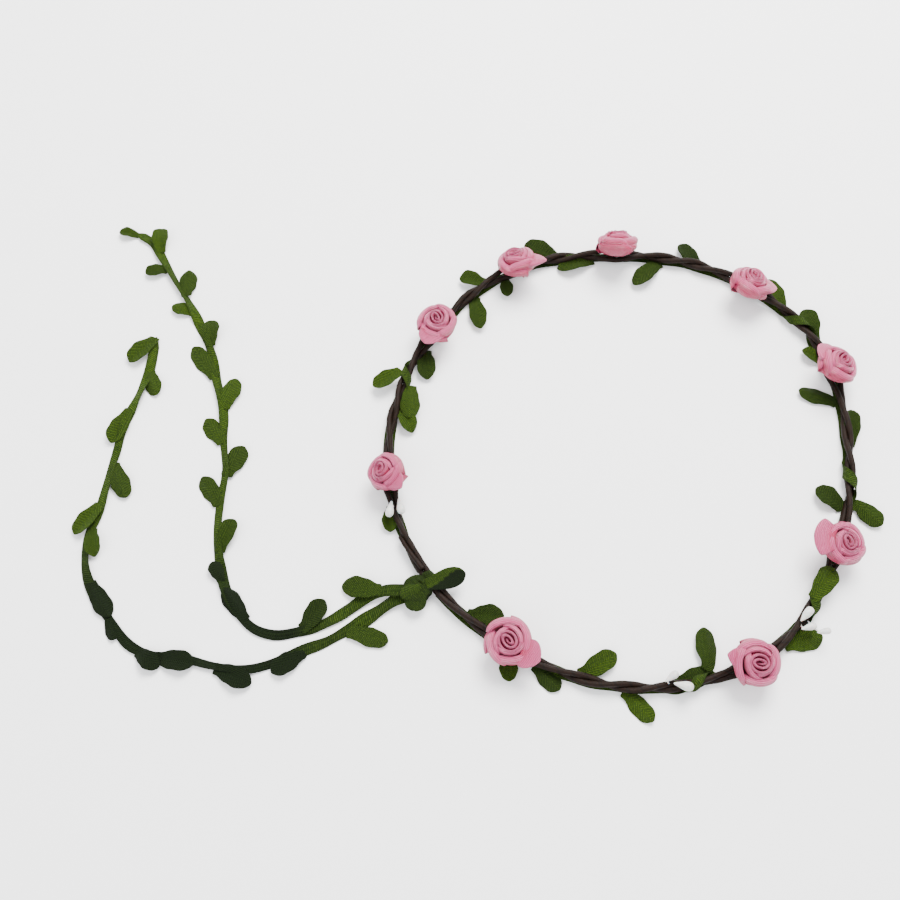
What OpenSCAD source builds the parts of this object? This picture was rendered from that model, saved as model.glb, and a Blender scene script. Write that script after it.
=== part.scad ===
// Flower crown: two paper-wrapped wire strands twisted into a ring, wound with leaf trim,
// set with ribbon roses and pips, and tied at one side with two free leafy tails.
// Millimetres, +Z up. The crown lies on z = 0 and the Z axis is the middle of the head opening.

/* [Ring] */
// Diameter of each paper-wrapped strand
strand_d = 1.8; // [1.6:0.1:1.9]
// Distance of a strand's centreline from the middle of the twisted pair
twist_r = 1.1; // [1.1:0.05:1.2]
// Distance of a strand from the pair's middle where the strands part round a rose
parting_r = 2.6; // [2.5:0.1:2.8]
// Diameter of the wire inside each strand
wire_d = 0.7; // [0.6:0.1:0.8]

/* [Roses] */
// Width of a rolled ribbon rose across its open end
rose_w = 19; // [17:0.5:20]
// Height of a rose from its foot to its rim
rose_h = 11; // [10:0.5:12]

/* [Leaves] */
// Width of a full-size leaf
leaf_w = 7.5; // [6.5:0.5:8]
// Thickness of the trim cloth
cloth_t = 0.6; // [0.5:0.1:0.8]
// Width of the trim's stem
stem_w = 3.6; // [3.2:0.1:4]

/* [Pips] */
// Diameter of a teardrop pip
pip_d = 3.2; // [2.8:0.1:3.4]
// Length of a teardrop pip
pip_l = 6.5; // [6:0.5:7]

/* [Hidden] */
LEAF_GREEN = [0.27, 0.45, 0.11];
ROSE_PINK = [0.96, 0.66, 0.78];
BARK_BROWN = [0.2, 0.14, 0.11];
WIRE_GREY = [0.55, 0.55, 0.57];
PIP_WHITE = [0.95, 0.94, 0.9];

// The ring is shaped by hand: its radius every 30 degrees, anticlockwise from +X
RING_R = [87, 92, 90, 87, 90, 90, 92, 93, 92, 94, 94, 88];
STEP_DEG = 360 / len(RING_R);
// Each rose: its angle round the ring, how far it leans outward, and how far its head is set
// inward and onward from the place where its stem is bound
ROSE_SPOTS = [
  [117, 30, 4.2, 0.8], [89, 50, 4.4, 0.4], [51, 28, 6.4, 1], [21, 25, 3.3, -1.6],
  [-28, 10, 1, -1.8], [-64, 12, 0, -2.3], [-120, 8, 0.6, -1.3], [-172, 30, 2, 1.4],
  [146, 5, 1.8, -0.5]
];
// The same roses in order round the ring from the knot, with the half turns of twist before each
TWIST_SPOTS = [[216, 0], [240, 1], [296, 5], [332, 7], [381, 10], [411, 12], [449, 15], [477, 17],
  [506, 19], [548, 22], [576, 23]];
KNOT_DEG = 216;
TURN = 360;

strand_r = strand_d / 2;
pair_r = twist_r + strand_r;
clear = 0.1;
trim_r = pair_r + clear + cloth_t / 2;
// The trim's edges reach this far below its middle where it starts to turn round the pair
wrap_dip = 0.5;
pair_z = trim_r + cloth_t / 2 + wrap_dip;
strand_top = pair_z + strand_r;

// Degrees over which the strands part on each side of a rose, and over which the trim
// makes one turn round the pair on each side of a crossing
PART_DEG = 7;
WRAP_DEG = 7;
WRAP_SPOTS = [282, 316, 350, 396, 521];
// Degrees left free at each end of the strands, the wires and the trim
STRAND_GAP = 1;
WIRE_GAP = 1.3;
TRIM_GAP = 3;
// Spacing of the sections round the ring, and of the trim's where it crosses over the strands
RING_STEP = 2.5;
WRAP_STEP = 0.75;

// Where the strands' spare end starts and stops, counted back from the knot, and its distance
// from the pair's middle, nestled in the groove between the two strands
SPARE_DEG = [3, 13];
spare_r = 1.7;

// Leaves on the ring: angle, turn from the trim's forward direction (inward is positive), length
RING_LEAVES = [
  [227, 40, 13], [239, -58, 11], [246, -22, 12], [256, 45, 15], [266, -45, 14], [277, 13, 15],
  [285, 78, 15], [304, -22, 14], [316, 7, 14], [344, -120, 13], [342, 70, 12], [0, -12, 15],
  [12, 60, 15], [24, 30, 9], [30, -20, 14], [41, -25, 15], [66, -30, 12], [76, 60, 16],
  [95, 12, 15], [104, -38, 15], [120, 65, 9], [125, -43, 11], [130, 60, 15], [151, 33, 13],
  [160, -42, 12], [163, 15, 13], [167, 32, 14], [195, -16, 10]
];

// The knot's middle, its bead, and the slot in it where the tails turn round its core
knot_reach = 99;
knot_x = knot_reach * cos(KNOT_DEG);
knot_y = knot_reach * sin(KNOT_DEG);
bead_r = 5.2;
bead_h = 6.8;
band_l = 7;
band_t = 0.7;
band_bore_r = pair_r + 0.15;
core_r = 1.2;
eye_bore_r = 1.3;
eye_r = 2.6;
eye_h = 1.1;
layer_gap = 0.3;
slot_z = 1.9;
slot_back = 1.6;
slot_r = eye_r + layer_gap;
slot_h = 2 * eye_h + 3 * layer_gap;
eye_b_z = slot_z + layer_gap;
eye_a_z = eye_b_z + eye_h + layer_gap;
// Leaves of the knot: heading, length, height of the base, height of the tip
KNOT_LEAVES = [[17, 15, 6.4, 7], [258, 8, 0.4, 0.6]];

// Routes of the tails, from inside the knot to the free end
TAIL_A = [
  [-82, -58.5, 4.15], [-87, -58.5, 4.15], [-92, -58.5, 3.2], [-98, -60, 1.6], [-104, -64, 0.8],
  [-110, -68, 0.6], [-117, -71.5, 0.6], [-124, -73.5, 0.6], [-132, -74.5, 0.6],
  [-140, -72, 0.6], [-146, -66, 0.6], [-151, -58, 0.6], [-154, -48, 0.6], [-156, -36, 0.6],
  [-156, -22, 0.6], [-155, -10, 0.6], [-157, 4, 0.6], [-158, 16, 0.6], [-162, 30, 0.6],
  [-165, 42, 0.6], [-170, 53, 0.6], [-175, 63, 0.6], [-182, 74, 0.6], [-189, 86, 0.6],
  [-194, 94, 0.6], [-201, 99, 0.6]
];
TAIL_B = [
  [-82, -59, 2.75], [-87, -61, 2.6], [-92, -64, 1.5], [-98, -68, 0.8], [-105, -72.5, 0.6],
  [-113, -77, 0.6], [-121, -80, 0.6], [-130, -84, 0.6], [-141, -87, 0.6], [-153, -86, 0.6],
  [-165, -83, 0.6], [-176, -82, 0.6], [-185, -78, 0.6], [-192, -70, 0.6], [-199, -61, 0.6],
  [-204, -50, 0.6], [-205, -38, 0.6], [-202, -26, 0.6], [-200, -13, 0.6], [-198, 0, 0.6],
  [-196, 12, 0.6], [-192, 23, 0.6], [-189, 35, 0.6], [-188, 49, 0.6]
];
// Leaves of the tails: place along the route counted in its points, heading, length
LEAVES_A = [
  [2.2, 172, 14], [6.8, 57, 13], [9.5, 128, 14], [11.4, 119, 8], [12.4, 69, 13], [13.8, 123, 13],
  [14.8, 63, 13], [15.8, 127, 12], [17, 72, 13], [18, 127, 16], [19.2, 90, 11], [20.7, 162, 9],
  [21.4, 89, 12], [22.5, 189, 9], [23.3, 92, 11], [24.8, 172, 8]
];
LEAVES_B = [
  [4.2, -15, 15], [6, -145, 13], [9, -24, 14], [10.9, -8, 14], [11.6, -35, 10], [13.2, -66, 8],
  [14.6, -56, 15], [16.4, -77, 11], [17.2, -123, 14], [18.5, -64, 15], [20.4, -111, 15],
  [21.9, -71, 11], [23, -129, 14]
];
tail_t = 1;
// A leaf's widest place as a share of its length, its fullness along its length there, and the
// length below which it is narrower than a full-size leaf
leaf_belly = 0.6;
belly_stretch = 1.2;
full_leaf_l = 12;
// Heights that the tips of outstretched leaves rise or droop to
ring_tip_z = 2.5;
tail_tip_z = 1.6;

// Pips: angle round the ring, distance out from its middle line, heading, size
PIPS_SIDE = [[197, 2, 261, 1], [197, -2, 283, 1]];
PIPS_FRONT = [[278.7, 0.7, -13, 1.1], [276.5, -2.8, 35, 0.9]];
PIPS_CORNER = [[311.7, -0.3, 46, 1.05], [310, 3, 15, 0.9], [311.7, 8, 8, 0.8]];
// Where a pip's thread enters the strands, as a share of the pip's distance out
thread_share = 0.2;
pip_z = pair_z + pair_r + pip_d / 2;
thread_r = 0.35;

// Outline of a rose from its base to its rim, as shares of half its width and of its height
ROSE_OUTLINE = [
  [0, 0], [0.33, 0], [0.7, 0.2], [0.94, 0.55], [1, 0.75], [0.92, 0.9], [0.7, 0.97], [0.4, 1], [0, 1]
];
PIP_OUTLINE = [[0, 0], [0.35, 0.12], [0.8, 0.45], [1, 0.7], [0.8, 0.9], [0.4, 0.98], [0, 1]];
foot_r = parting_r - strand_r + clear;
stem_r = 0.9;
rose_gap = 0.6;

// Smooth curve through four neighbouring values, from the second (f = 0) to the third (f = 1)
function between(p, f) = 0.5 * (2 * p[1] + (p[2] - p[0]) * f
  + (2 * p[0] - 5 * p[1] + 4 * p[2] - p[3]) * f * f
  + (3 * p[1] - p[0] - 3 * p[2] + p[3]) * f * f * f);

// Point at place u, counted in points, of the smooth curve through a list of points
function along(points, u) = let (
    last = len(points) - 1,
    i = min(floor(u), last - 1)
  ) between([for (k = [-1:2]) points[max(0, min(last, i + k))]], u - i);

function unit(v) = v / norm(v);
function ease(f) = let (c = max(0, min(1, f))) c * c * (3 - 2 * c);
function out(a) = [cos(a), sin(a), 0];

// Radius of the ring's middle line at angle a
function ring_r(a) = let (
    count = len(RING_R),
    u = (a + TURN) / STEP_DEG,
    i = floor(u)
  ) between([for (k = [-1:2]) RING_R[(i + k + count) % count]], u - i);

function ring_point(a, z) = ring_r(a) * out(a) + [0, 0, z];

// Nearness of angle a to the nearest rose, from 0 beyond PART_DEG to 1 at the rose
function at_rose(a) = max([for (s = ROSE_SPOTS)
  ease(1 - abs((a - s.x + 1.5 * TURN) % TURN - TURN / 2) / PART_DEG)]);

// Twist of the pair at angle a: whole half turns at each rose, eased between them
function twist(a) = let (
    i = max([for (k = [0:len(TWIST_SPOTS) - 2]) if (k == 0 || TWIST_SPOTS[k].x <= a) k]),
    from = TWIST_SPOTS[i],
    to = TWIST_SPOTS[i + 1]
  ) TURN / 2 * (from.y + (to.y - from.y) * ease((a - from.x) / (to.x - from.x)));

// Point of a strand at angle a; phase 0 is strand A and phase 180 is strand B
function strand_point(a, phase) = let (
    spread = twist_r + (parting_r - twist_r) * at_rose(a),
    turned = twist(a) + phase
  ) ring_point(a, pair_z) + spread * cos(turned) * out(a) + [0, 0, twist_r * sin(turned)];

// Direction from the pair's middle to the trim at angle a: down, but for one turn at each crossing
function trim_side(a) = let (
    turned = TURN * sum([for (w = WRAP_SPOTS) ease((a - w + WRAP_DEG) / (2 * WRAP_DEG))])
  ) sin(turned) * out(a) - [0, 0, cos(turned)];

function trim_step(a) = min([for (w = WRAP_SPOTS)
  abs(a - w + RING_STEP / 2) < WRAP_DEG + RING_STEP ? WRAP_STEP : RING_STEP]);

function trim_point(a) = ring_point(a, pair_z) + trim_r * trim_side(a);
function sum(list) = list * [for (x = list) 1];

// Angle a brought into the turn that starts at the knot
function from_knot(a) = a < KNOT_DEG ? a + TURN : a;

// Outline of a section with its width across and its height along the normal
function section(w, h, sides) = [for (k = [0:sides - 1])
  let (t = TURN * (k + 0.5) / sides) [w / 2 * cos(t), h / 2 * sin(t)] / cos(TURN / 2 / sides)];

function direction(path, i) =
  unit(path[min(i + 1, len(path) - 1)] - path[max(i - 1, 0)]);

// Points of a section carried along a path, each ring upright to the normal given for it
function swept(path, normals, outline) = [for (i = [0:len(path) - 1])
  let (
    ahead = direction(path, i),
    across = unit(cross(ahead, normals[i])),
    up = cross(across, ahead)
  ) for (q = outline) path[i] + across * q.x + up * q.y];

module sweep(path, normals, outline) {
  n = len(outline);
  rings = len(path);
  walls = [for (i = [0:rings - 2]) for (k = [0:n - 1])
    let (a = i * n + k, b = i * n + (k + 1) % n) each [[a, b, a + n], [b, b + n, a + n]]];
  ends = [[for (k = [n - 1:-1:0]) k], [for (k = [0:n - 1]) (rings - 1) * n + k]];
  polyhedron(swept(path, normals, outline), concat(walls, ends), convexity = 10);
}

module upright_sweep(path, outline) {
  sweep(path, [for (p = path) [0, 0, 1]], outline);
}

function strand_path(phase, gap) =
  [for (a = [KNOT_DEG + gap:RING_STEP:KNOT_DEG + TURN - gap]) strand_point(a, phase)];

// A paper tube with the wire's bore through it
module strand(phase) {
  color(BARK_BROWN)
    difference() {
      upright_sweep(strand_path(phase, STRAND_GAP), section(strand_d, strand_d, 8));
      upright_sweep(strand_path(phase, STRAND_GAP / 2), section(wire_d + clear, wire_d + clear, 5));
    }
}

module wire(phase) {
  color(WIRE_GREY)
    upright_sweep(strand_path(phase, WIRE_GAP), section(wire_d, wire_d, 5));
}

// The strands' spare end, laid back beside the knot along the upper groove of the twisted pair
module strand_end() {
  color(BARK_BROWN)
    upright_sweep(
      [for (a = [TURN + KNOT_DEG - SPARE_DEG[0]:-RING_STEP:TURN + KNOT_DEG - SPARE_DEG[1]])
        let (turned = twist(a) - TURN / 4)
          ring_point(a, pair_z) + spare_r * (cos(turned) * out(a) + [0, 0, sin(turned)])],
      section(strand_d, strand_d, 8));
}

// A flat leaf from its base at the origin along +X, rising to its tip
module leaf(l, rise) {
  base_r = stem_w / 4;
  tip_r = leaf_w / 8;
  rotate([0, -asin(rise / l), 0])
    hull() {
      cylinder(r = base_r, h = cloth_t, center = true, $fn = 8);
      translate([leaf_belly * l, 0, 0])
        scale([belly_stretch, 1, 1])
          cylinder(d = leaf_w * min(1, l / full_leaf_l), h = cloth_t, center = true, $fn = 16);
      translate([l - tip_r, 0, 0])
        cylinder(r = tip_r, h = cloth_t, center = true, $fn = 8);
    }
}

// A leaf at a base point, turned to its heading, with its tip at height tip_z
module leaf_at(base, heading, l, tip_z) {
  translate(base)
    rotate([0, 0, heading])
      leaf(l, tip_z - base.z);
}

// Stem of the leaf trim: flat under the strands, crossing over them at each wrap
module ring_stem() {
  last = KNOT_DEG + TURN - TRIM_GAP;
  angles = [for (a = KNOT_DEG + TRIM_GAP; a <= last; a = a + trim_step(a)) a];
  color(LEAF_GREEN)
    sweep([for (a = angles) trim_point(a)], [for (a = angles) trim_side(a)],
      section(stem_w, cloth_t, 4));
}

// The trim's leaves, to both sides of its stem
module ring_leaves() {
  color(LEAF_GREEN)
    for (spot = RING_LEAVES)
      ring_leaf(spot);
}

// A leaf from the edge of the ring's trim: one along the strands stays level, one pointing
// away from them reaches ring_tip_z
module ring_leaf(spot) {
  base = trim_point(from_knot(spot.x)) - sign(spot.y) * stem_w / 2 * out(spot.x);
  leaf_at(base, spot.x + TURN / 4 + spot.y, spot.z,
    base.z + (ring_tip_z - base.z) * abs(sin(spot.y)));
}

// Ribbon rose: a cup of rolled petals, leaning outward on its stem
module rose(spot) {
  color(ROSE_PINK)
    translate(rose_base(spot))
      rotate([0, spot.y, spot.x])
        rotate_extrude($fn = 36)
          polygon([for (q = ROSE_OUTLINE) [q.x * rose_w / 2, q.y * rose_h]]);
}

// Middle of a rose's base, at the height where the leaning cup clears the strands by rose_gap
function rose_base(spot) = let (
    dip = max([for (q = ROSE_OUTLINE)
      q.x * rose_w / 2 * sin(spot.y) - q.y * rose_h * cos(spot.y)])
  ) ring_point(spot.x, strand_top + rose_gap + dip) - spot[2] * out(spot.x)
    + spot[3] * out(spot.x + TURN / 4);

// Taped stem of a rose: bound between the parted strands, then bent to the middle of its base
module foot(spot) {
  foot_z = pair_z - pair_r + clear;
  color(BARK_BROWN) {
    translate(ring_point(spot.x, foot_z))
      cylinder(r = foot_r, h = strand_top - foot_z, $fn = 24);
    rod(ring_point(spot.x, strand_top - stem_r / 2), rose_base(spot), stem_r);
    translate(rose_base(spot))
      sphere(r = stem_r + clear, $fn = 24);
  }
}

// One teardrop pip lying on the strands, with its thread down into the pair
module pip(spot) {
  size = spot[3];
  l = pip_l * size;
  tip = ring_point(spot.x, pip_z) + spot.y * out(spot.x) - l / 2 * out(spot.z);
  color(PIP_WHITE) {
    translate(tip)
      rotate([0, 90, spot.z])
        rotate_extrude($fn = 20)
          polygon([for (q = PIP_OUTLINE) [q.x * pip_d / 2 * size, q.y * l]]);
    rod(tip + 0.2 * l * out(spot.z),
      ring_point(spot.x, pair_z) + thread_share * spot.y * out(spot.x), thread_r);
  }
}

// A straight round rod between two points
module rod(from, to, r) {
  run = to - from;
  translate(from)
    rotate([0, acos(run.z / norm(run)), atan2(run.y, run.x)])
      cylinder(r = r, h = norm(run), $fn = 16);
}

module pips(spots) {
  for (spot = spots)
    pip(spot);
}

// Tie knot: a band round the strands and a bead beside it, slotted for the turning tails
module knot() {
  color(LEAF_GREEN) {
    difference() {
      union() {
        along_ring(pair_r + band_t, band_l);
        translate([knot_x, knot_y, 0])
          bead();
      }
      along_ring(band_bore_r, 4 * band_l);
      translate([knot_x, knot_y, slot_z])
        tail_slot();
    }
    for (spot = KNOT_LEAVES)
      leaf_at(knot_leaf_base(spot), spot[0], spot[1], spot[3]);
  }
}

function knot_leaf_base(spot) =
  [knot_x, knot_y, spot[2]] + 0.6 * bead_r * out(spot[0]);

// A cylinder round the pair's middle line at the knot
module along_ring(r, l) {
  translate(ring_point(KNOT_DEG, pair_z))
    rotate([90, 0, KNOT_DEG])
      cylinder(r = r, h = l, center = true, $fn = 48);
}

module bead() {
  rotate_extrude($fn = 48)
    polygon([
      [0, 0], [0.7 * bead_r, 0], [0.95 * bead_r, 0.2 * bead_h], [bead_r, 0.5 * bead_h],
      [0.95 * bead_r, 0.8 * bead_h], [0.7 * bead_r, bead_h], [0, bead_h]
    ]);
}

// Room for the tails' eyes round the core, open on the side away from the ring
module tail_slot() {
  difference() {
    union() {
      cylinder(r = slot_r, h = slot_h, $fn = 48);
      rotate([0, 0, KNOT_DEG])
        translate([-slot_back, -2 * bead_r, 0])
          cube([2 * bead_r + slot_back, 4 * bead_r, slot_h]);
    }
    translate([0, 0, -1])
      cylinder(r = core_r, h = slot_h + 2, $fn = 48);
  }
}

// First turn of a tail inside the knot, round the knot's core
module tail_eye(z) {
  color(LEAF_GREEN)
    translate([knot_x, knot_y, z])
      difference() {
        cylinder(r = eye_r, h = eye_h, $fn = 48);
        translate([0, 0, -1])
          cylinder(r = eye_bore_r, h = eye_h + 2, $fn = 48);
      }
}

// Stem of a tail along its route
module tail(route) {
  color(LEAF_GREEN)
    upright_sweep([for (u = [0:0.5:len(route) - 1]) along(route, u)],
      section(stem_w, tail_t, 8));
}

module tail_leaves(route, leaves) {
  color(LEAF_GREEN)
    for (spot = leaves)
      leaf_at(along(route, spot.x), spot.y, spot.z, tail_tip_z);
}

strand(0);  // strand_a
strand(TURN / 2);  // strand_b
strand_end();
wire(0);  // wire_a
wire(TURN / 2);  // wire_b
ring_stem();
ring_leaves();
knot();
for (i = [1:len(ROSE_SPOTS)]) {
  rose(ROSE_SPOTS[i - 1]);
  foot(ROSE_SPOTS[i - 1]);
}
pips(PIPS_SIDE);  // pips_side
pips(PIPS_FRONT);  // pips_front
pips(PIPS_CORNER);  // pips_corner
tail(TAIL_A);  // tail_a
tail_eye(eye_a_z);  // tail_a_eye
tail_leaves(TAIL_A, LEAVES_A);  // tail_a_leaves
tail(TAIL_B);  // tail_b
tail_eye(eye_b_z);  // tail_b_eye
tail_leaves(TAIL_B, LEAVES_B);  // tail_b_leaves
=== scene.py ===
"""Looks of a flower crown: two paper-wrapped strands twisted into a ring, with ribbon roses, leaf
trim, pips, a tie knot and two free leafy tails. Shapes are made in millimetres in the CAD's frame
and turned into metres as each mesh is made."""

import math
import random

import bpy
import numpy as np
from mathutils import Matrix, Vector


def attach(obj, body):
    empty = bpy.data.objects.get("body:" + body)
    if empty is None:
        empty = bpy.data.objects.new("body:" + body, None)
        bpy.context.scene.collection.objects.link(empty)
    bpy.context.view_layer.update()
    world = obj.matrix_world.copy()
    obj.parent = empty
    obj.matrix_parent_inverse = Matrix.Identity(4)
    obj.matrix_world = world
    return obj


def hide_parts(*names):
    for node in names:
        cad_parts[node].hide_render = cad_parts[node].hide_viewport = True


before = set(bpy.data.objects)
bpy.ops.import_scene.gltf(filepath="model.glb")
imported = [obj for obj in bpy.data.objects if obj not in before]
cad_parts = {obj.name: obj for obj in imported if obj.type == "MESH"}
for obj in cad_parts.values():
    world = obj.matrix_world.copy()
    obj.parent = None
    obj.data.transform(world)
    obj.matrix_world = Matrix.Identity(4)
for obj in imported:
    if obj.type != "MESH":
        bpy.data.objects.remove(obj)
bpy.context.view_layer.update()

MM = 0.001
TURN = 360
UP = np.array([0, 0, 1.0])

# ---------------------------------------------------------------- camera

TARGET = Vector((-0.0681, -0.0008, 0.0))
CAMERA_DISTANCE = 0.4307
CAMERA_ELEVATION = math.radians(67)
LENS_MM = 44
SENSOR_MM = 36


def link(obj):
    bpy.context.scene.collection.objects.link(obj)
    return obj


def make_camera():
    data = bpy.data.cameras.new("camera")
    data.lens = LENS_MM
    data.sensor_width = SENSOR_MM
    data.clip_start = 0.01
    camera = link(bpy.data.objects.new("camera", data))
    back = Vector((0, -math.cos(CAMERA_ELEVATION), math.sin(CAMERA_ELEVATION)))
    camera.location = TARGET + CAMERA_DISTANCE * back
    camera.rotation_euler = back.to_track_quat("Z", "Y").to_euler()
    bpy.context.scene.camera = camera


make_camera()

# ---------------------------------------------------------------- routes of the tails, in metres

TAIL_A = [
    (-0.082, -0.0585, 0.00415), (-0.087, -0.0585, 0.00415), (-0.092, -0.0585, 0.0032),
    (-0.098, -0.06, 0.0016), (-0.104, -0.064, 0.0008), (-0.11, -0.068, 0.0006),
    (-0.117, -0.0715, 0.0006), (-0.124, -0.0735, 0.0006), (-0.132, -0.0745, 0.0006),
    (-0.14, -0.072, 0.0006), (-0.146, -0.066, 0.0006), (-0.151, -0.058, 0.0006),
    (-0.154, -0.048, 0.0006), (-0.156, -0.036, 0.0006), (-0.156, -0.022, 0.0006),
    (-0.155, -0.01, 0.0006), (-0.157, 0.004, 0.0006), (-0.158, 0.016, 0.0006),
    (-0.162, 0.03, 0.0006), (-0.165, 0.042, 0.0006), (-0.17, 0.053, 0.0006),
    (-0.175, 0.063, 0.0006), (-0.182, 0.074, 0.0006), (-0.189, 0.086, 0.0006),
    (-0.194, 0.094, 0.0006), (-0.201, 0.099, 0.0006),
]
TAIL_B = [
    (-0.082, -0.059, 0.00275), (-0.087, -0.061, 0.0026), (-0.092, -0.064, 0.0015),
    (-0.098, -0.068, 0.0008), (-0.105, -0.0725, 0.0006), (-0.113, -0.077, 0.0006),
    (-0.121, -0.08, 0.0006), (-0.13, -0.084, 0.0006), (-0.141, -0.087, 0.0006),
    (-0.153, -0.086, 0.0006), (-0.165, -0.083, 0.0006), (-0.176, -0.082, 0.0006),
    (-0.185, -0.078, 0.0006), (-0.192, -0.07, 0.0006), (-0.199, -0.061, 0.0006),
    (-0.204, -0.05, 0.0006), (-0.205, -0.038, 0.0006), (-0.202, -0.026, 0.0006),
    (-0.2, -0.013, 0.0006), (-0.198, 0.0, 0.0006), (-0.196, 0.012, 0.0006),
    (-0.192, 0.023, 0.0006), (-0.189, 0.035, 0.0006), (-0.188, 0.049, 0.0006),
]
TAIL_WIDTH = 3.6

# ---------------------------------------------------------------- the ring, as the CAD places it

RING_R = [87, 92, 90, 87, 90, 90, 92, 93, 92, 94, 94, 88]
# Each rose: its angle, outward lean, and how far its head is set inward and onward
ROSE_SPOTS = [
    (117, 30, 4.2, 0.8), (89, 50, 4.4, 0.4), (51, 28, 6.4, 1), (21, 25, 3.3, -1.6),
    (-28, 10, 1, -1.8), (-64, 12, 0, -2.3), (-120, 8, 0.6, -1.3), (-172, 30, 2, 1.4),
    (146, 5, 1.8, -0.5),
]
TWIST_SPOTS = [
    (216, 0), (240, 1), (296, 5), (332, 7), (381, 10), (411, 12), (449, 15), (477, 17),
    (506, 19), (548, 22), (576, 23),
]
KNOT_DEG = 216
WRAP_SPOTS = [282, 316, 350, 396, 521]
PART_DEG = 7
WRAP_DEG = 7
STRAND_R = 0.9
# Radius of a strand with its tape, and the length of strand that one turn of tape covers
TAPED_R = 1.12
WRAP_PITCH = 5.2
TWIST_R = 1.1
SPARE_R = 1.7
PARTING_R = 2.6
PAIR_R = TWIST_R + STRAND_R
TRIM_R = 2.4
PAIR_Z = 3.2
STRAND_TOP = PAIR_Z + STRAND_R
FOOT_R = 1.8
STEM_R = 0.9
ROSE_GAP = 0.6
RING_STEM_HALF = 2.3
RING_STEM_T = 0.48
# The CAD rose's outline, in millimetres out from its axis and up from its base
CUP_OUTLINE = [(0, 0), (3.135, 0), (6.65, 2.2), (8.93, 6.05), (9.5, 8.25), (8.74, 9.9)]
SPARE_DEG = (3, 13)

# Leaves on the ring: angle, turn from the trim's forward direction (inward is positive), length
RING_LEAVES = [
    (227, 40, 13), (239, -58, 11), (246, -22, 12), (256, 45, 15), (266, -45, 14), (277, 13, 15),
    (285, 78, 15), (304, -22, 14), (316, 7, 14), (344, -120, 13), (342, 70, 12), (0, -12, 15),
    (12, 60, 15), (24, 30, 9), (30, -20, 14), (41, -25, 15), (66, -30, 12), (76, 60, 16),
    (95, 12, 15), (104, -38, 15), (120, 65, 9), (125, -43, 11), (130, 60, 15), (151, 33, 13),
    (160, -42, 12), (163, 15, 13), (167, 32, 14), (195, -16, 10),
]
# Leaves of the tails: place along the route counted in its points, heading, length
LEAVES_A = [
    (2.2, 172, 14), (6.8, 57, 13), (9.5, 128, 14), (11.4, 119, 8), (12.4, 69, 13),
    (13.8, 123, 13), (14.8, 63, 13), (15.8, 127, 12), (17, 72, 13), (18, 127, 16),
    (19.2, 90, 11), (20.7, 162, 9), (21.4, 89, 12), (22.5, 189, 9), (23.3, 92, 11),
    (24.8, 172, 8),
]
LEAVES_B = [
    (4.2, -15, 15), (6, -145, 13), (9, -24, 14), (10.9, -8, 14), (11.6, -35, 10),
    (13.2, -66, 8), (14.6, -56, 15), (16.4, -77, 11), (17.2, -123, 14), (18.5, -64, 15),
    (20.4, -111, 15), (21.9, -71, 11), (23, -129, 14),
]
# Pips: angle round the ring, distance out from its middle line, heading, size
PIPS = {
    "pips_side": [(197, 2, 261, 1), (197, -2, 283, 1)],
    "pips_front": [(278.7, 0.7, -13, 1.1), (276.5, -2.8, 35, 0.9)],
    "pips_corner": [(311.7, -0.3, 46, 1.05), (310, 3, 15, 0.9), (311.7, 8, 8, 0.8)],
}
PIP_D = 3.2
PIP_L = 6.5
KNOT = np.array([99 * math.cos(math.radians(KNOT_DEG)), 99 * math.sin(math.radians(KNOT_DEG)), 0])


def ease(f):
    c = min(1, max(0, f))
    return c * c * (3 - 2 * c)


def mix(a, b, f):
    return a + (b - a) * f


def between(p, f):
    """Smooth curve through four neighbouring values, from the second to the third."""
    return 0.5 * (
        2 * p[1]
        + (p[2] - p[0]) * f
        + (2 * p[0] - 5 * p[1] + 4 * p[2] - p[3]) * f * f
        + (3 * p[1] - p[0] - 3 * p[2] + p[3]) * f * f * f
    )


def bent(start, bend, end, f):
    """Point at share f of a curve that leaves start towards bend and comes from it to end."""
    return mix(mix(start, bend, f), mix(bend, end, f), f)


def along(points, u):
    """Point at place u, counted in points, of the smooth curve through a list of points."""
    last = len(points) - 1
    i = min(int(u), last - 1)
    near = [np.array(points[max(0, min(last, i + k))], float) for k in (-1, 0, 1, 2)]
    return between(near, u - i)


def out(a):
    return np.array([math.cos(math.radians(a)), math.sin(math.radians(a)), 0])


def ring_r(a):
    u = (a + TURN) / 30
    i = int(u)
    return between([RING_R[(i + k) % len(RING_R)] for k in (-1, 0, 1, 2)], u - i)


def ring_point(a, z, outward=0):
    return (ring_r(a) + outward) * out(a) + np.array([0, 0, z])


def at_rose(a):
    gaps = [abs((a - spot[0] + 1.5 * TURN) % TURN - TURN / 2) for spot in ROSE_SPOTS]
    return ease(1 - min(gaps) / PART_DEG)


def twist(a):
    i = max(k for k in range(len(TWIST_SPOTS) - 1) if k == 0 or TWIST_SPOTS[k][0] <= a)
    (a0, turns0), (a1, turns1) = TWIST_SPOTS[i], TWIST_SPOTS[i + 1]
    return TURN / 2 * mix(turns0, turns1, ease((a - a0) / (a1 - a0)))


def strand_point(a, phase):
    spread = mix(TWIST_R, PARTING_R, at_rose(a))
    turned = math.radians(twist(a) + phase)
    return ring_point(a, PAIR_Z + TWIST_R * math.sin(turned), spread * math.cos(turned))


def trim_side(a):
    turned = math.radians(
        TURN * sum(ease((a - w + WRAP_DEG) / (2 * WRAP_DEG)) for w in WRAP_SPOTS)
    )
    return math.sin(turned) * out(a) - np.array([0, 0, math.cos(turned)])


def trim_point(a):
    return ring_point(a, PAIR_Z) + TRIM_R * trim_side(a)


def from_knot(a):
    return a + TURN if a < KNOT_DEG else a


def unit(v):
    return v / np.linalg.norm(v)


# ---------------------------------------------------------------- materials


# The Mix node's sockets for colours: its factor, its two colours and its result
MIX_INPUTS = (0, 6, 7)
MIX_OUTPUT = 2


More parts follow.
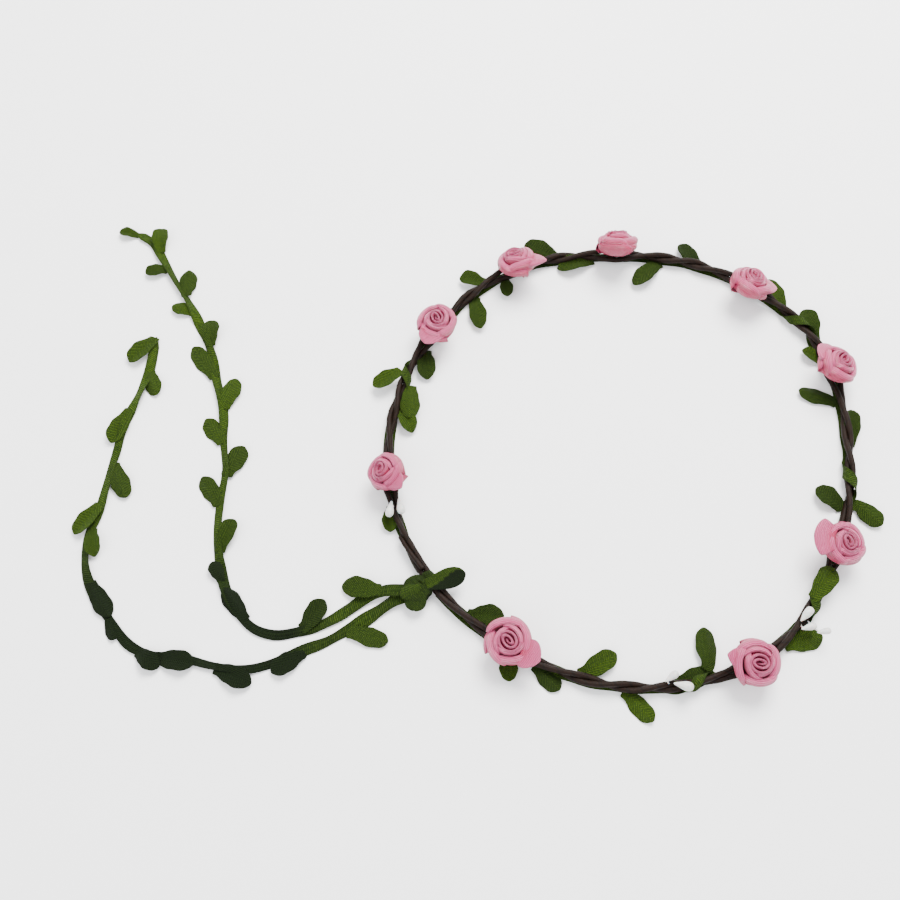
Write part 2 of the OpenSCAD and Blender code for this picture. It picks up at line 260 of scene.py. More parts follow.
class Shader:
    """A material whose nodes are added one at a time."""

    def __init__(self, name):
        self.material = bpy.data.materials.new(name)
        self.material.use_nodes = True
        self.tree = self.material.node_tree
        self.surface = self.tree.nodes["Principled BSDF"]

    def node(self, kind, **settings):
        node = self.tree.nodes.new("ShaderNode" + kind)
        for key, value in settings.items():
            setattr(node, key, value)
        return node

    def link(self, source, target):
        self.tree.links.new(source, target)

    def value(self, **numbers):
        for key, value in numbers.items():
            self.surface.inputs[key.replace("_", " ")].default_value = value

    def mesh_map(self, u_scale=1, v_scale=1):
        """The mesh's own map: millimetres along and across each ribbon or leaf."""
        source = self.node("UVMap", uv_map="along_and_across")
        scale = self.node("Mapping")
        scale.inputs["Scale"].default_value = (u_scale, v_scale, 1)
        self.link(source.outputs["UV"], scale.inputs["Vector"])
        return scale.outputs["Vector"]

    def noise(self, scale, detail=3, vector=None):
        node = self.node("TexNoise")
        node.inputs["Scale"].default_value = scale
        node.inputs["Detail"].default_value = detail
        if vector is None:
            vector = self.node("TexCoord").outputs["Object"]
        self.link(vector, node.inputs["Vector"])
        return node.outputs["Fac"]

    def wave(self, period, vector, direction="X"):
        """Sine ribs with a period in the vector's own units."""
        node = self.node("TexWave", bands_direction=direction)
        node.inputs["Scale"].default_value = math.pi / 10 / period
        self.link(vector, node.inputs["Vector"])
        return node.outputs["Fac"]

    def math(self, operation, a, b=0.0):
        node = self.node("Math", operation=operation)
        for socket, source in zip(node.inputs, (a, b)):
            if isinstance(source, (int, float)):
                socket.default_value = source
            else:
                self.link(source, socket)
        return node.outputs["Value"]

    def mix(self, factor, a, b):
        """Colour between a and b. Each is a colour or another node's output."""
        node = self.node("Mix", data_type="RGBA")
        for index, source in zip(MIX_INPUTS, (factor, a, b)):
            if isinstance(source, tuple):
                node.inputs[index].default_value = (*source, 1)
            else:
                self.link(source, node.inputs[index])
        return node.outputs[MIX_OUTPUT]

    def tone(self):
        return self.node("Attribute", attribute_name="tone").outputs["Fac"]

    def ramp(self, source, low, high):
        node = self.node("MapRange", interpolation_type="SMOOTHSTEP")
        node.inputs["From Min"].default_value = low
        node.inputs["From Max"].default_value = high
        self.link(source, node.inputs["Value"])
        return node.outputs["Result"]

    def colour(self, source):
        self.link(source, self.surface.inputs["Base Color"])

    def roughness(self, source):
        self.link(source, self.surface.inputs["Roughness"])

    def bump(self, height, distance, strength=1.0):
        node = self.node("Bump")
        node.inputs["Strength"].default_value = strength
        node.inputs["Distance"].default_value = distance
        self.link(height, node.inputs["Height"])
        self.link(node.outputs["Normal"], self.surface.inputs["Normal"])


def rose_satin():
    """Pink satin with fine ribs along the ribbon: paler on its rims, painted shade of deep pink in
    its creases, painted sheen streaks and painted highlights on the ribs.
    """
    m = Shader("rose_satin")
    # Painted shade: the tone attribute is high in the creases and on the lower walls, and turns the
    # pink deep there.
    crease = m.ramp(m.tone(), 0.0, 0.75)
    pink = m.mix(crease, (0.41, 0.032, 0.125), (0.36, 0.001, 0.05))
    slubs = m.noise(2.2, 2, m.mesh_map(0.25, 3))
    # Painted sheen: the slubs' lighter streaks along the ribbon stand in for the satin's highlights.
    painted_sheen_streaks = m.math("MULTIPLY", m.ramp(slubs, 0.35, 0.7), 0.4)
    pink = m.mix(painted_sheen_streaks, pink, (0.4, 0.014, 0.085))
    ribs = m.wave(0.6, m.mesh_map(), "Y")
    # Painted highlight: the ribs are lightened towards a paler pink, less in the painted crease
    # shade.
    pale = m.math("SUBTRACT", 0.4, m.math("MULTIPLY", crease, 0.3))
    m.colour(m.mix(m.math("MULTIPLY", ribs, pale), pink, (0.68, 0.17, 0.31)))
    m.bump(m.math("ADD", m.math("MULTIPLY", ribs, 0.7), slubs), 0.0005, 1.0)
    m.roughness(m.math("ADD", m.math("MULTIPLY", slubs, 0.25), 0.22))
    m.value(Sheen_Weight=0.1, Sheen_Roughness=0.4, Specular_IOR_Level=0.6)
    m.surface.inputs["Sheen Tint"].default_value = (1, 0.7, 0.82, 1)
    return m.material


def leaf_cloth():
    """Green pressed cloth: slanting ribs from the midrib, a fine weave and yellow-green threads,
    with painted light and shade from its tone, near-black painted shade to lit green.
    """
    m = Shader("leaf_cloth")
    tone = m.tone()
    coords = m.mesh_map()
    # Painted light and shade: tone runs from near-black painted shade to lit green.
    green = m.mix(tone, (0.0025, 0.006, 0.001), (0.027, 0.058, 0.0018))
    patches = m.ramp(m.noise(2.4, 3, coords), 0.35, 0.65)
    green = m.mix(m.math("MULTIPLY", patches, 0.5), green, (0.006, 0.017, 0.001))
    split = m.node("SeparateXYZ")
    m.link(coords, split.inputs[0])
    across = m.math("ABSOLUTE", split.outputs[1])
    slant = m.math("SUBTRACT", split.outputs[0], m.math("MULTIPLY", across, 0.9))
    slanted = m.node("CombineXYZ")
    m.link(slant, slanted.inputs[0])
    m.link(split.outputs[1], slanted.inputs[1])
    veins = m.wave(0.8, slanted.outputs[0])
    weave = m.wave(0.5, coords, "Y")
    thread = m.math("MULTIPLY", m.ramp(veins, 0.5, 0.95), m.ramp(m.noise(1.6, 2, coords), 0.35, 0.6))
    # The threads' lighter green follows the same painted light and shade by tone.
    lighter = m.mix(tone, (0.008, 0.016, 0.002), (0.085, 0.14, 0.008))
    m.colour(m.mix(m.math("MULTIPLY", thread, 0.8), green, lighter))
    relief = m.math("ADD", m.math("MULTIPLY", veins, 0.7), m.math("MULTIPLY", weave, 0.3))
    m.bump(relief, 0.0009, 1.0)
    m.value(Roughness=0.85, Specular_IOR_Level=0.12)
    return m.material


def paper_wrap():
    """Brown crepe paper tape: a dark edge once a turn, fibres along it and a slight gloss."""
    m = Shader("paper_wrap")
    coords = m.mesh_map()
    split = m.node("SeparateXYZ")
    m.link(coords, split.inputs[0])
    turns = m.math("ADD", m.math("DIVIDE", split.outputs[0], WRAP_PITCH), split.outputs[1])
    place = m.math("FRACT", turns)
    edge = m.math("SUBTRACT", 1.0, m.ramp(place, 0.0, 0.22))
    crepe = m.noise(1.3, 4, m.mesh_map(1.6, 14))
    brown = m.mix(m.ramp(crepe, 0.3, 0.75), (0.003, 0.0013, 0.0007), (0.015, 0.0064, 0.0031))
    m.colour(m.mix(m.math("MULTIPLY", edge, 0.8), brown, (0.002, 0.0015, 0.001)))
    m.bump(m.math("ADD", m.math("MULTIPLY", place, 0.6), crepe), 0.00022, 0.7)
    m.roughness(m.math("ADD", m.math("MULTIPLY", crepe, 0.25), 0.45))
    m.value(Specular_IOR_Level=0.1)
    return m.material


def pip_plaster():
    """Dipped plaster, off-white but painted grey for the shade on it: slightly lumpy, a little
    translucent, with a soft gloss.
    """
    m = Shader("pip_plaster")
    spots = m.noise(900, 4)
    # Painted shade: both greys are darker than the white plaster.
    m.colour(m.mix(m.ramp(spots, 0.4, 0.8), (0.58, 0.58, 0.56), (0.44, 0.43, 0.4)))
    m.bump(m.noise(700, 3), 0.00015, 0.5)
    m.value(Roughness=0.42, Subsurface_Weight=0.2, Subsurface_Scale=0.0015)
    return m.material


def core_wire():
    """Drawn steel wire: fine lines along it."""
    m = Shader("core_wire")
    lines = m.noise(3000, 4)
    m.colour(m.mix(lines, (0.32, 0.32, 0.34), (0.6, 0.6, 0.62)))
    m.bump(lines, 0.00003, 0.5)
    m.value(Metallic=1.0, Roughness=0.38)
    return m.material


def floor_paper():
    m = Shader("floor_paper")
    grain = m.noise(60, 3)
    m.colour(m.mix(grain, (0.96, 0.96, 0.96), (0.98, 0.98, 0.98)))
    m.value(Roughness=0.9, Specular_IOR_Level=0.1)
    return m.material


MATERIALS = {
    "rose_satin": rose_satin(), "leaf_cloth": leaf_cloth(), "paper_wrap": paper_wrap(),
    "pip_plaster": pip_plaster(), "core_wire": core_wire(),
}

# ---------------------------------------------------------------- mesh making


class Surface:
    """Grids of points, in millimetres, gathered into one mesh with a map and a tone for each."""

    def __init__(self):
        self.points = []
        self.tones = []
        self.faces = []
        self.maps = []

    def grid(self, rows, maps, tones, closed=False):
        """Adds rows of points. closed joins each row's end to its start and caps the two ends,
        and maps then has one more column than the rows."""
        n, m = len(rows), len(rows[0])
        base = len(self.points)
        for i in range(n):
            self.points.extend(rows[i])
            self.tones.extend(tones[i])
        for i in range(n - 1):
            for k in range(m if closed else m - 1):
                j = (k + 1) % m
                a, b = base + i * m, base + (i + 1) * m
                self.faces.append((a + k, a + j, b + j, b + k))
                self.maps.extend([maps[i][k], maps[i][k + 1], maps[i + 1][k + 1], maps[i + 1][k]])
        if closed:
            first, last = base, base + (n - 1) * m
            self.faces.append(tuple(first + k for k in range(m - 1, -1, -1)))
            self.maps.extend([maps[0][k] for k in range(m - 1, -1, -1)])
            self.faces.append(tuple(last + k for k in range(m)))
            self.maps.extend([maps[-1][k] for k in range(m)])

    def piece(self, name, slot, body, replaced, thickness=0, levels=0):
        """Makes the mesh, which rides on a body and stands for the CAD nodes in replaced.
        thickness makes cloth of it, and levels of subdivision smooth it."""
        mesh = bpy.data.meshes.new(name)
        mesh.from_pydata([tuple(MM * c for c in p) for p in self.points], [], self.faces)
        layer = mesh.uv_layers.new(name="along_and_across")
        layer.data.foreach_set("uv", [float(c) for pair in self.maps for c in pair])
        tone = mesh.attributes.new("tone", "FLOAT", "POINT")
        tone.data.foreach_set("value", [float(t) for t in self.tones])
        mesh.shade_smooth()
        mesh.materials.append(MATERIALS[slot])
        obj = link(bpy.data.objects.new(name, mesh))
        if thickness:
            solid = obj.modifiers.new("thickness", "SOLIDIFY")
            solid.thickness = thickness * MM
            solid.offset = 0
        if levels:
            smooth = obj.modifiers.new("smooth", "SUBSURF")
            smooth.levels = levels
            smooth.render_levels = levels
        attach(obj, body)
        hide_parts(*replaced)
        return obj


def directions(path):
    path = np.array(path)
    ahead = np.gradient(path, axis=0)
    return ahead / np.linalg.norm(ahead, axis=1)[:, None]


def lengths(path):
    steps = np.linalg.norm(np.diff(np.array(path), axis=0), axis=1)
    return np.concatenate([[0], np.cumsum(steps)])


PLAIN_TONE = 0.5


def tube(surface, path, normals, outline, tones=None, round_map=1.0):
    """Sweeps a closed outline along a path. outline(i, s) gives its points as across, up."""
    ahead = directions(path)
    run = lengths(path)
    tones = tones or [PLAIN_TONE] * len(path)
    rows, maps, shades = [], [], []
    for i, centre in enumerate(path):
        across = unit(np.cross(ahead[i], normals[i]))
        up = np.cross(across, ahead[i])
        ring = outline(i, run[i])
        rows.append([centre + x * across + y * up for x, y in ring])
        maps.append([(run[i], round_map * k / len(ring)) for k in range(len(ring) + 1)])
        shades.append([tones[i]] * len(ring))
    surface.grid(rows, maps, shades, closed=True)


ROUND_SIDES = 14
FLAT_SIDES = 12
LATHE_SIDES = 20
# How far the tape's edge stands out, its small crinkles, and how far in the tape starts
TAPE_EDGE = 0.09
TAPE_CRINKLE = 0.03
TAPE_INSET = 0.06


def wrapped(radius_x, radius_y, start=0.0):
    """Outline of a strand wound with tape: its edge steps up once a turn as it winds along."""

    def outline(i, s):
        ring = []
        for k in range(ROUND_SIDES):
            place = (s / WRAP_PITCH + k / ROUND_SIDES + start) % 1
            step = TAPE_EDGE * place + TAPE_CRINKLE * math.sin(23 * s + 5 * k) * math.sin(0.7 * s)
            t = 2 * math.pi * k / ROUND_SIDES
            ring.append(((radius_x(i) + step - TAPE_INSET) * math.cos(t),
                         (radius_y(i) + step - TAPE_INSET) * math.sin(t)))
        return ring

    return outline


def flat_outline(half_width, half_height, cup=0):
    """Outline of a flat strip with soft edges. cup lifts its two edges and lowers its middle."""
    return [(half_width * math.copysign(abs(math.cos(t)) ** 0.6, math.cos(t)),
             half_height * math.sin(t) + cup * math.cos(2 * t))
            for t in (2 * math.pi * (k + 0.5) / FLAT_SIDES for k in range(FLAT_SIDES))]


# ---------------------------------------------------------------- leaves

# A leaf's half width along its length, as a share of its widest place
LEAF_PLACES = [0, 0.12, 0.25, 0.4, 0.58, 0.74, 0.86, 0.94, 0.985, 1]
LEAF_WIDTHS = [0.55, 0.6, 0.74, 0.9, 1, 0.95, 0.78, 0.56, 0.32, 0.1]
LEAF_ROWS = 15
LEAF_COLUMNS = 9
LEAF_W = 8.2
FULL_LEAF_L = 12
# Share by which a cut leaf's rounded tip goes past the CAD's
TIP_SHARE = 1.08
# Share of its length in which a leaf bends round to its own heading
BEND_SHARE = 0.35
# Sizes of a leaf's wavy outline and of the ripple along its two edges
EDGE_WAVE = 0.05
EDGE_RIPPLE = 0.22
FLOOR_GAP = 0.3
CLOTH_T = 0.4


def leaf(surface, base, start_heading, heading, length, tip_z, tone, rng):
    """A leaf that leaves the stem along start_heading and bends round to its own heading."""
    width = LEAF_W * min(1, length / FULL_LEAF_L) * rng.uniform(0.92, 1.06)
    fold = math.radians(rng.choice([-1, 1, 1]) * rng.uniform(8, 30))
    arch = rng.uniform(0.2, 1.5)
    roll_end = math.radians(rng.uniform(-22, 22))
    wave_phase = rng.uniform(0, 2 * math.pi)
    rows, maps, tones = [], [], []
    middle = np.array(base, float)
    step = TIP_SHARE * length / (LEAF_ROWS - 1)
    marks = np.linspace(-1, 1, LEAF_COLUMNS)
    for i in range(LEAF_ROWS):
        s = i / (LEAF_ROWS - 1)
        facing = mix(start_heading, heading, ease(s / BEND_SHARE))
        if i:
            middle = middle + step * out(facing)
        half = width / 2 * np.interp(s, LEAF_PLACES, LEAF_WIDTHS)
        half *= 1 + EDGE_WAVE * math.sin(17 * s + wave_phase)
        lift = mix(base[2], tip_z, ease(s)) + arch * math.sin(math.pi * s)
        roll = roll_end * s
        sideways = out(facing + 90)
        row = []
        for t in marks:
            open_x = half * t * math.cos(fold)
            rise = half * abs(t) * math.sin(fold) * ease(2 * s)
            rise += EDGE_RIPPLE * t * t * math.sin(9 * s + wave_phase)
            point = middle + open_x * math.cos(roll) * sideways
            point[2] = max(FLOOR_GAP, lift + rise + open_x * math.sin(roll))
            row.append(point)
        rows.append(row)
        maps.append([(s * length, half * t) for t in marks])
        tones.append([tone] * LEAF_COLUMNS)
    surface.grid(rows, maps, tones)


def turn_between(a, b):
    """The signed turn from heading a to heading b, in degrees."""
    return (b - a + TURN / 2) % TURN - TURN / 2


# ---------------------------------------------------------------- tails

TAIL_STEP = 0.2
TAIL_T = 0.55
TAIL_CUP = 0.1
# Most that a tail rolls about its line, and height of its middle where it lies flat
TAIL_ROLL = math.radians(42)
TAIL_LIE = 0.35
LEAF_TIP_Z = 1.6


def tail_line(route):
    """The tail's centreline in millimetres, finely stepped, with its places in the route."""
    places = np.arange(0, len(route) - 1 + 1e-6, TAIL_STEP)
    return [along(route, u) / MM for u in places], places


def smooth_noise(rng, count, spacing):
    """Gentle random values from -1 to 1, one for each step, with knots a spacing apart."""
    knots = [rng.uniform(-1, 1) for _ in range(int(count / spacing) + 4)]
    return [between([knots[int(i / spacing) + k] for k in range(4)], (i / spacing) % 1)
            for i in range(count)]


def tail_painted_light(point):
    """Painted light and shade: bright green towards the far end of the tails, near-black painted
    shade by the near turn.
    """
    by_knot = ease((point[0] + 130) / 22)
    return mix(mix(-0.05, 0.55, by_knot), 0.78, ease((point[1] + 64) / 34))


def tail(name, route, leaves, seed):
    """A free end of the leaf trim: a limp cloth stem with its leaves, lying on the floor."""
    rng = random.Random(seed)
    path, places = tail_line(route)
    count = len(path)
    rolls = smooth_noise(rng, count, 7)
    widths = smooth_noise(rng, count, 4)
    normals, centres, tones = [], [], []
    ahead = directions(path)
    for i in range(count):
        roll = TAIL_ROLL * rolls[i] * ease((places[i] - 2) / 3)
        across = unit(np.cross(ahead[i], UP))
        normals.append(math.cos(roll) * UP + math.sin(roll) * across)
        centre = np.array(path[i])
        centre[2] = max(centre[2], TAIL_LIE + TAIL_WIDTH / 2 * abs(math.sin(roll)))
        centres.append(centre)
        # Painted light and shade by place, varied with the stem's width noise
        tones.append(tail_painted_light(centre) + 0.12 * widths[i])

    def outline(i, s):
        half = TAIL_WIDTH / 2 * (1.05 + 0.17 * widths[i]) * (1 + 0.35 * ease((6 - places[i]) / 4))
        end = ease((count - 1 - i) / 3 + 0.25)
        return flat_outline(half * end, TAIL_T / 2, TAIL_CUP)

    stem = Surface()
    tube(stem, centres, normals, outline, tones, round_map=2 * TAIL_WIDTH)
    cord = stem.piece(name + "_stem", "leaf_cloth", name, [name])
    blades = Surface()
    for place, heading, leaf_length in leaves:
        base = along(centres, place / TAIL_STEP)
        line = ahead[min(count - 1, int(place / TAIL_STEP))]
        stem_heading = math.degrees(math.atan2(line[1], line[0]))
        if abs(turn_between(stem_heading, heading)) > 90:
            stem_heading += TURN / 2
        start = heading + 0.55 * turn_between(heading, stem_heading)
        side = np.sign(turn_between(stem_heading, heading))
        base = base + 0.6 * side * out(stem_heading + 90)
        # Painted light and shade by place, with a random change of tone for each leaf
        tone = tail_painted_light(base) + rng.uniform(-0.25, 0.2)
        leaf(blades, base, start, heading, leaf_length, LEAF_TIP_Z, tone, rng)
    bunch = blades.piece(name + "_blades", "leaf_cloth", name, [name + "_leaves"], CLOTH_T, 1)


tail("tail_a", TAIL_A, LEAVES_A, 11)
tail("tail_b", TAIL_B, LEAVES_B, 12)

# ---------------------------------------------------------------- strands and trim of the ring

STRAND_STEP = 0.5


def strand(name, phase):
    angles = np.arange(KNOT_DEG + 1, KNOT_DEG + TURN - 1 + 1e-6, STRAND_STEP)
    path = [strand_point(a, phase) for a in angles]
    surface = Surface()
    plain = lambda i: TAPED_R
    tube(surface, path, [UP] * len(path), wrapped(plain, plain, phase / TURN))
    surface.piece(name + "_tape", "paper_wrap", "crown", [name])


def strand_end():
    far = KNOT_DEG + TURN
    path = []
    for a in np.arange(far - SPARE_DEG[0], far - SPARE_DEG[1], -STRAND_STEP):
        turned = math.radians(twist(a) - TURN / 4)
        path.append(ring_point(a, PAIR_Z + SPARE_R * math.sin(turned), SPARE_R * math.cos(turned)))
    surface = Surface()
    plain = lambda i: STRAND_R
    tube(surface, path, [UP] * len(path), wrapped(plain, plain))
    surface.piece("strand_end_tape", "paper_wrap", "crown", ["strand_end"])


def ring_painted_light(point):
    """Dark painted shade on the far side between the leaning roses, brighter painted light round the
    rest of the ring.
    """
    far = ease((point[1] - 40) / 40) * ease(1.3 - abs(point[0]) / 40)
    return 0.72 - 0.35 * far


def ring_stem():
    rng = random.Random(5)
    angles = np.arange(KNOT_DEG + 3, KNOT_DEG + TURN - 3, STRAND_STEP)
    widths = smooth_noise(rng, len(angles), 9)

    def outline(i, s):
        return flat_outline(RING_STEM_HALF * (0.84 + 0.16 * widths[i]), RING_STEM_T / 2)

    surface = Surface()
    path = [trim_point(a) for a in angles]
    # Painted light and shade by place along the stem
    tones = [ring_painted_light(p) - 0.1 for p in path]
    tube(surface, path, [trim_side(a) for a in angles], outline, tones, round_map=2 * TAIL_WIDTH)
    surface.piece("ring_stem_cloth", "leaf_cloth", "crown", ["ring_stem"])


def ring_leaves():
    rng = random.Random(21)
    surface = Surface()
    for angle, turn, length in RING_LEAVES:
        edge = math.copysign(TAIL_WIDTH / 2 - 0.5, turn)
        base = trim_point(from_knot(angle)) - edge * out(angle)
        base[2] = max(base[2], 0.5)
        heading = angle + TURN / 4 + turn
        tip_z = mix(base[2], 2.5, abs(math.sin(math.radians(turn))))
        # Painted light and shade by place, with a random change of tone for each leaf
        tone = ring_painted_light(base) + rng.uniform(-0.35, 0.25)
        leaf(surface, base, heading - 0.5 * turn, heading, length, tip_z, tone, rng)
    surface.piece("ring_blades", "leaf_cloth", "crown", ["ring_leaves"], CLOTH_T, 1)


strand("strand_a", 0)
strand("strand_b", TURN / 2)
strand_end()
ring_stem()
ring_leaves()

# ---------------------------------------------------------------- roses

# Each rose's slit direction in the plan, the seed of its folds, and its size
ROSE_LOOKS = [
    (20, 1, 1.0), (0, 2, 1.02), (95, 3, 1.03), (60, 4, 1.0), (110, 5, 1.0), (175, 6, 1.06),
    (135, 7, 1.08), (75, 8, 0.9), (120, 9, 0.97),
]
# Ribbon ends and pulled-out folds: rose, direction in the plan, reach, half angle, rim height,
# and how pointed it is, from 0.1 for a squared band to 1 for a corner
FLAPS = [
    (1, -18, 13.2, 34, 6.6, 1.0), (5, 168, 12.3, 44, 7.8, 0.12), (7, -34, 11.8, 38, 7.4, 0.5),
    (8, -48, 11.6, 32, 6.6, 0.8), (9, -115, 11.2, 38, 7.0, 0.6), (3, -5, 11.0, 36, 6.8, 0.7),
    (6, 165, 10.2, 24, 6.8, 0.8), (4, 140, 10.8, 40, 6.8, 0.5),
]
# The way across a flap from under the petals, over its edge and back: share of its reach
# beyond the petals, height above its rim, painted crease shade
FLAP_PROFILE = [
    (-0.5, 0.9, 0.9), (-0.2, 0.6, 0.5), (0.25, 0.35, 0.15), (0.7, 0.15, 0.05), (0.95, 0.0, 0.0),
    (1.0, -0.35, 0.1), (0.9, -0.8, 0.35), (0.4, -1.7, 0.7), (-0.6, -3.4, 1.0),
]
# Distance from the rose's axis at which a flap comes out from under the petals
FLAP_ROOT = 7.4
# Inner petals, outer petals and loose lower petals: count, radius, half angle, rim height, flare
PETAL_LAYERS = [(3, 5.2, 76, 9.9, 0.75), (4, 6.9, 58, 8.6, 1.3), (3, 7.9, 66, 6.4, 0.9)]
# A petal from its inner wall over its rim: way out from its line, drop below its rim, painted crease
# shade
PETAL_PROFILE = [
    (-0.7, 3.6, 1.0), (-0.55, 2.0, 0.85), (-0.45, 0.9, 0.5), (-0.2, 0.25, 0.15), (0.1, 0.0, 0.0),
    (0.6, 0.14, 0.0), (1.1, 0.5, 0.14), (1.5, 1.15, 0.45), (1.65, 2.1, 0.8),
]
# The rest of its outer wall, from there to the foot: share of the way, painted crease shade
PETAL_WALL = [(0.35, 0.5), (0.7, 0.7), (1, 0.9)]
PETAL_FOOT_R = 2.6
PETAL_FOOT_Z = 0.4
# How far a petal moves outward from its start to its end, and how flat its sides are
PETAL_SPIRAL = 1.1
FLAT_SIDE = 0.55
# One turn of the rolled core: way out from its line, drop below its rim, painted crease shade
CORE_PROFILE = [
    (-0.34, 4.0, 1.0), (-0.36, 1.8, 0.95), (-0.34, 0.7, 0.6), (-0.18, 0.14, 0.15), (0.02, 0.0, 0.0),
    (0.22, 0.12, 0.05), (0.38, 0.7, 0.45), (0.42, 1.8, 0.9), (0.4, 4.0, 1.0),
]
CORE_TURNS = 2.6
CORE_STEPS = 26
CORE_START_R = 0.3
CORE_GROWTH = 1.38
CORE_RIM_Z = 10.9
# The folded ribbon that shows deep between the core's turns
CORE_BED_Z = 7.8
CORE_BED_R = 4.8
# Height below which the outer walls get painted shade, a deeper pink
SHADED_WALL_Z = 6.6
PETAL_STEPS = 22
# Thickness, in millimetres, of the ribbon that a rose is rolled from
RIBBON_T = 0.28


def rose_core(surface, slit, rng):
    """The rolled start of the ribbon: a flattened spiral whose middle closes to a slit."""
    steps = int(CORE_TURNS * CORE_STEPS)
    phase = rng.uniform(0, 2 * math.pi)
    rows, maps, tones = [], [], []
    run = 0
    for i in range(steps + 1):
        turns = CORE_TURNS * i / steps
        t = 2 * math.pi * turns
        radius = CORE_START_R + CORE_GROWTH * turns
        flat = mix(2.3, 1.12, ease(turns / 2))
        run += 2 * math.pi * CORE_TURNS / steps * radius
        rim = CORE_RIM_Z - 0.28 * turns + 0.22 * math.sin(2 * t + phase)
        rim -= 1.4 * (1 - ease(turns / 0.7))
        row = []
        for offset, drop, _ in CORE_PROFILE:
            r = radius + offset
            x, y = r * math.cos(t) * math.sqrt(flat), r * math.sin(t) / math.sqrt(flat)
            c, s = math.cos(slit), math.sin(slit)
            row.append(np.array([c * x - s * y, s * x + c * y, rim - drop]))
        rows.append(row)
        maps.append([(run, 0.7 * k) for k in range(len(CORE_PROFILE))])
        tones.append([p[2] for p in CORE_PROFILE])
    surface.grid(rows, maps, tones)
    radii = np.linspace(0.05, CORE_BED_R, 6)
    spokes = [out(a) for a in range(0, TURN + 1, 10)]
    bed = [[r * spoke + (CORE_BED_Z - 0.1 * r) * UP for spoke in spokes] for r in radii]
    # The bed gets tone 1, the deepest painted crease shade.
    surface.grid(bed, [[tuple(r * spoke[:2]) for spoke in spokes] for r in radii],
                 [[1.0] * len(spokes) for _ in radii])


def petal(surface, middle, half_angle, radius, rim, flare, rng):
    """One folded turn of ribbon: an inner wall, a soft rim and an outer wall down to the foot."""
    flat_angle = math.radians(0.8 * half_angle)
    wobble = rng.uniform(0, 2 * math.pi)
    rows, maps, tones = [], [], []
    for i in range(PETAL_STEPS + 1):
        u = 2 * i / PETAL_STEPS - 1
        angle = middle + half_angle * u
        side = math.cos(flat_angle) / math.cos(flat_angle * u)
        plan = radius * mix(1, side, FLAT_SIDE) + 0.5 * PETAL_SPIRAL * u
        end = abs(u) ** 4
        top = rim - 1.9 * end + 0.25 * math.sin(3 * u + wobble)
        profile = [(plan + (flare if d > 0 else 1) * d * (1 - 0.5 * end) - 0.5 * end,
                    top - drop, crease) for d, drop, crease in PETAL_PROFILE]
        low_r, low_z = profile[-1][:2]
        profile += [(mix(low_r, PETAL_FOOT_R, f ** 1.6), mix(low_z, PETAL_FOOT_Z, f), crease)
                    for f, crease in PETAL_WALL]
        rows.append([r * out(angle) + np.array([0, 0, z]) for r, z, _ in profile])
        over = lengths([(r, z) for r, z, _ in profile])
        maps.append([(math.radians(half_angle * u) * radius, v) for v in over])
        tones.append([crease for _, _, crease in profile])
    surface.grid(rows, maps, tones)


def flap(surface, direction, reach, half_angle, rim, pointed):
    """A folded end of the ribbon that sticks out from under the petals."""
    rows, maps, tones = [], [], []
    for u in np.linspace(-1, 1, PETAL_STEPS + 1):
        push = (reach - FLAP_ROOT) * (1 - abs(u)) ** pointed + 0.3
        angle = direction + half_angle * u
        rows.append([(FLAP_ROOT + share * push) * out(angle) + np.array([0, 0, rim + height])
                     for share, height, _ in FLAP_PROFILE])
        over = lengths([(share * push, height) for share, height, _ in FLAP_PROFILE])
        maps.append([(math.radians(half_angle * u) * reach, v) for v in over])
        tones.append([crease for _, _, crease in FLAP_PROFILE])
    surface.grid(rows, maps, tones)


def rose_base(index):
    """Middle of a rose's base, as the CAD places it: its leaning cup just clears the strands."""
    angle, lean, inward, onward = ROSE_SPOTS[index - 1]
    c, s = math.cos(math.radians(lean)), math.sin(math.radians(lean))
    dip = max(r * s - z * c for r, z in CUP_OUTLINE)
    return ring_point(angle, STRAND_TOP + ROSE_GAP + dip, -inward) + onward * out(angle + 90)


def rose_axis(index):
    angle, lean = ROSE_SPOTS[index - 1][:2]
    return math.sin(math.radians(lean)) * out(angle) + math.cos(math.radians(lean)) * UP


def rose(index):
    """A ribbon rose, made upright at the origin, then sized, leaned, turned and set in place."""
    angle, lean = ROSE_SPOTS[index - 1][:2]
    slit, seed, size = ROSE_LOOKS[index - 1]
    rng = random.Random(100 + seed)
    local = Surface()
    rose_core(local, math.radians(slit - angle), rng)
    start = rng.uniform(0, TURN)
    for count, radius, half_angle, rim, flare in PETAL_LAYERS:
        start += TURN / count / 2
        for k in range(count):
            middle = start + TURN * k / count + rng.uniform(-9, 9)
            petal(local, middle, half_angle * rng.uniform(0.92, 1.08),
                  radius * rng.uniform(0.96, 1.04), rim + rng.uniform(-0.35, 0.35), flare, rng)
    for where, direction, reach, half_angle, rim, pointed in FLAPS:
        if where == index:
            flap(local, direction - angle, reach, half_angle, rim, pointed)
    # Painted shade: the lower outer walls turn deeper pink.
    local.tones = [tone + 0.6 * ease((SHADED_WALL_Z - p[2]) / 4)
                   for tone, p in zip(local.tones, local.points)]
    tilt, spin = math.radians(lean), math.radians(angle)
    base = rose_base(index)
    placed = []
    for x, y, z in local.points:
        x, y = size * x, size * y
        x, z = x * math.cos(tilt) + z * math.sin(tilt), -x * math.sin(tilt) + z * math.cos(tilt)
        x, y = x * math.cos(spin) - y * math.sin(spin), x * math.sin(spin) + y * math.cos(spin)
        placed.append(base + np.array([x, y, z]))
    local.points = placed
    ribbon = local.piece(f"rose_{index}_ribbon", "rose_satin", "crown", [f"rose_{index}"],
                         RIBBON_T, 1)


FOOT_WRAP_PITCH = 2.2


